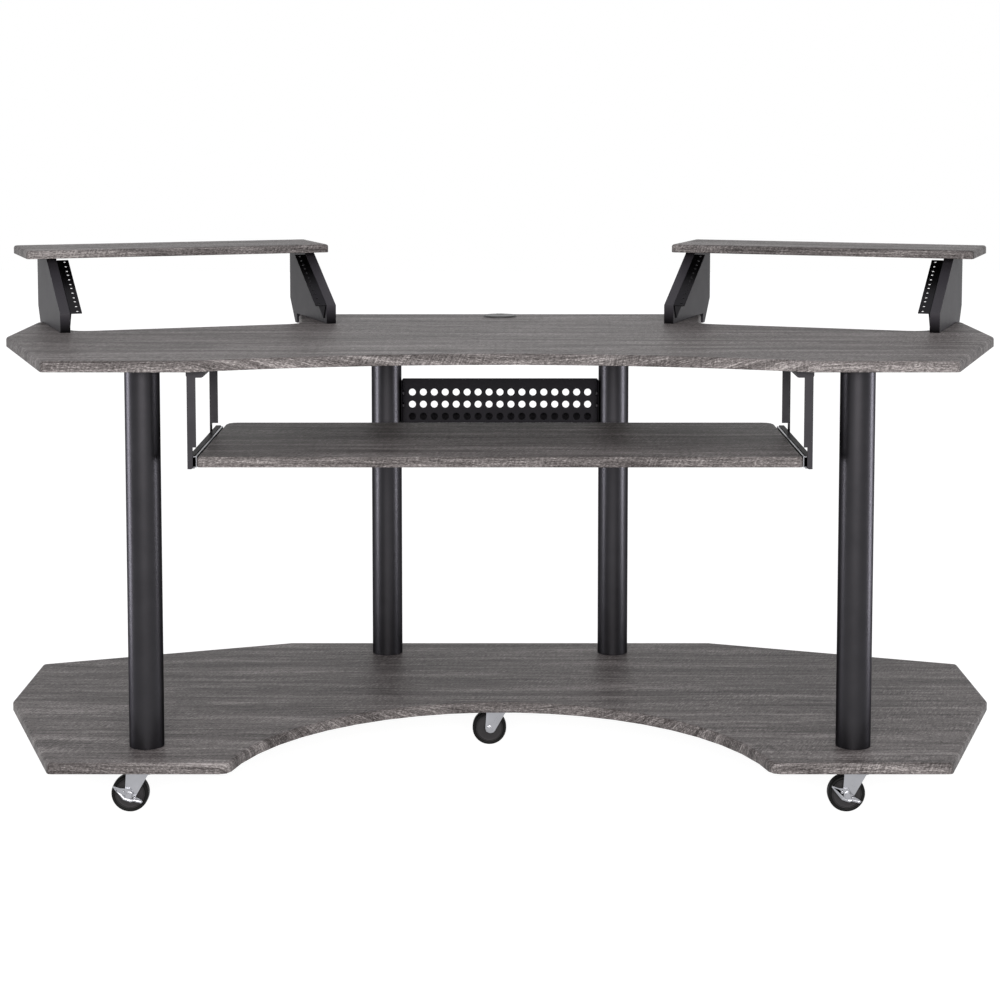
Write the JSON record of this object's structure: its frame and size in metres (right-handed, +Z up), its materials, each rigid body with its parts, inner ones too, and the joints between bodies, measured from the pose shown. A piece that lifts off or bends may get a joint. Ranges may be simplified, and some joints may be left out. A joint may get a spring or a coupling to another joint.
{
  "type": "studio desk",
  "caption": "Trapezoid studio desk on casters with angled riser racks, sliding keyboard tray, cable trough and round steel columns.",
  "frame": {"origin": "on the floor, at the middle of the desk's footprint in plan", "axes": "+X to the right of the seated player, +Y to the back, +Z up; the player sits on the -Y side"},
  "size_m": [1.908, 0.9044, 0.926],
  "materials": {
    "oak_laminate": "satin grey-brown oak laminate with fine grain along the desk",
    "charcoal_panel": "matt charcoal paint over fibreboard",
    "black_steel": "satin black powder coat",
    "zinc_steel": "bright zinc plate",
    "black_rubber": "matt hard rubber",
    "black_plastic": "fine matt texture"
  },
  "bodies": {
    "desk_frame": {"desktop": "oak_laminate", "bottom_shelf": "oak_laminate", "riser_shelf_left": "oak_laminate", "riser_shelf_right": "oak_laminate", "riser_panel_left_outer": "charcoal_panel", "riser_panel_left_inner": "charcoal_panel", "riser_panel_right_outer": "charcoal_panel", "riser_panel_right_inner": "charcoal_panel", "rack_rail_left_outer": "black_steel", "rack_rail_left_inner": "black_steel", "rack_rail_right_outer": "black_steel", "rack_rail_right_inner": "black_steel", "column_front_left": "black_steel", "column_front_right": "black_steel", "column_rear_left": "black_steel", "column_rear_right": "black_steel", "tie_rod_front_left": "zinc_steel", "tie_rod_front_right": "zinc_steel", "tie_rod_rear_left": "zinc_steel", "tie_rod_rear_right": "zinc_steel", "panel_screw_left_outer_front": "zinc_steel", "panel_screw_left_outer_rear": "zinc_steel", "panel_screw_left_inner_front": "zinc_steel", "panel_screw_left_inner_rear": "zinc_steel", "panel_screw_right_outer_front": "zinc_steel", "panel_screw_right_outer_rear": "zinc_steel", "panel_screw_right_inner_front": "zinc_steel", "panel_screw_right_inner_rear": "zinc_steel", "cable_trough": "black_steel", "tray_hanger_left": "black_steel", "tray_hanger_right": "black_steel", "slide_outer_left": "black_steel", "slide_outer_right": "black_steel", "grommet_liner": "black_plastic", "caster_plate_front_left": "zinc_steel", "caster_plate_front_right": "zinc_steel", "caster_plate_middle": "zinc_steel", "caster_plate_rear_left": "zinc_steel", "caster_plate_rear_right": "zinc_steel"},
    "keyboard_tray": {"keyboard_tray": "oak_laminate", "slide_inner_left": "zinc_steel", "slide_inner_right": "zinc_steel"},
    "grommet_cap": {"grommet_cap": "black_plastic"},
    "fork_front_left": {"caster_fork_front_left": "zinc_steel", "caster_axle_front_left": "zinc_steel"},
    "wheel_front_left": {"caster_wheel_front_left": "black_rubber"},
    "lever_front_left": {"brake_lever_front_left": "zinc_steel"},
    "fork_front_right": {"caster_fork_front_right": "zinc_steel", "caster_axle_front_right": "zinc_steel"},
    "wheel_front_right": {"caster_wheel_front_right": "black_rubber"},
    "lever_front_right": {"brake_lever_front_right": "zinc_steel"},
    "fork_middle": {"caster_fork_middle": "zinc_steel", "caster_axle_middle": "zinc_steel"},
    "wheel_middle": {"caster_wheel_middle": "black_rubber"},
    "fork_rear_left": {"caster_fork_rear_left": "zinc_steel", "caster_axle_rear_left": "zinc_steel"},
    "wheel_rear_left": {"caster_wheel_rear_left": "black_rubber"},
    "fork_rear_right": {"caster_fork_rear_right": "zinc_steel", "caster_axle_rear_right": "zinc_steel"},
    "wheel_rear_right": {"caster_wheel_rear_right": "black_rubber"}
  },
  "joints": [
    {"name": "tray_slide", "type": "slide", "parent": "desk_frame", "child": "keyboard_tray", "axis": [0, -1, 0], "range_m": [0, 0.265]},
    {"name": "grommet_cap_turn", "type": "hinge", "parent": "desk_frame", "child": "grommet_cap", "pos_m": [0, 0.33075, 0.779], "axis": [0, 0, 1], "continuous": true},
    {"name": "swivel_front_left", "type": "hinge", "parent": "desk_frame", "child": "fork_front_left", "pos_m": [-0.61003, -0.39425, 0.0715], "axis": [0, 0, 1], "continuous": true},
    {"name": "roll_front_left", "type": "hinge", "parent": "fork_front_left", "child": "wheel_front_left", "pos_m": [-0.63003, -0.39425, 0.03175], "axis": [0, 1, 0], "continuous": true},
    {"name": "brake_front_left", "type": "hinge", "parent": "fork_front_left", "child": "lever_front_left", "pos_m": [-0.63003, -0.39425, 0.03175], "axis": [0, -1, 0], "range_deg": [0, 20]},
    {"name": "swivel_front_right", "type": "hinge", "parent": "desk_frame", "child": "fork_front_right", "pos_m": [0.61003, -0.39425, 0.0715], "axis": [0, 0, 1], "continuous": true},
    {"name": "roll_front_right", "type": "hinge", "parent": "fork_front_right", "child": "wheel_front_right", "pos_m": [0.59003, -0.39425, 0.03175], "axis": [0, 1, 0], "continuous": true},
    {"name": "brake_front_right", "type": "hinge", "parent": "fork_front_right", "child": "lever_front_right", "pos_m": [0.59003, -0.39425, 0.03175], "axis": [0, -1, 0], "range_deg": [0, 20]},
    {"name": "swivel_middle", "type": "hinge", "parent": "desk_frame", "child": "fork_middle", "pos_m": [0, 0.00475, 0.0715], "axis": [0, 0, 1], "continuous": true},
    {"name": "roll_middle", "type": "hinge", "parent": "fork_middle", "child": "wheel_middle", "pos_m": [-0.02, 0.00475, 0.03175], "axis": [0, 1, 0], "continuous": true},
    {"name": "swivel_rear_left", "type": "hinge", "parent": "desk_frame", "child": "fork_rear_left", "pos_m": [-0.69, 0.19675, 0.0715], "axis": [0, 0, 1], "continuous": true},
    {"name": "roll_rear_left", "type": "hinge", "parent": "fork_rear_left", "child": "wheel_rear_left", "pos_m": [-0.71, 0.19675, 0.03175], "axis": [0, 1, 0], "continuous": true},
    {"name": "swivel_rear_right", "type": "hinge", "parent": "desk_frame", "child": "fork_rear_right", "pos_m": [0.69, 0.19675, 0.0715], "axis": [0, 0, 1], "continuous": true},
    {"name": "roll_rear_right", "type": "hinge", "parent": "fork_rear_right", "child": "wheel_rear_right", "pos_m": [0.67, 0.19675, 0.03175], "axis": [0, 1, 0], "continuous": true}
  ]
}
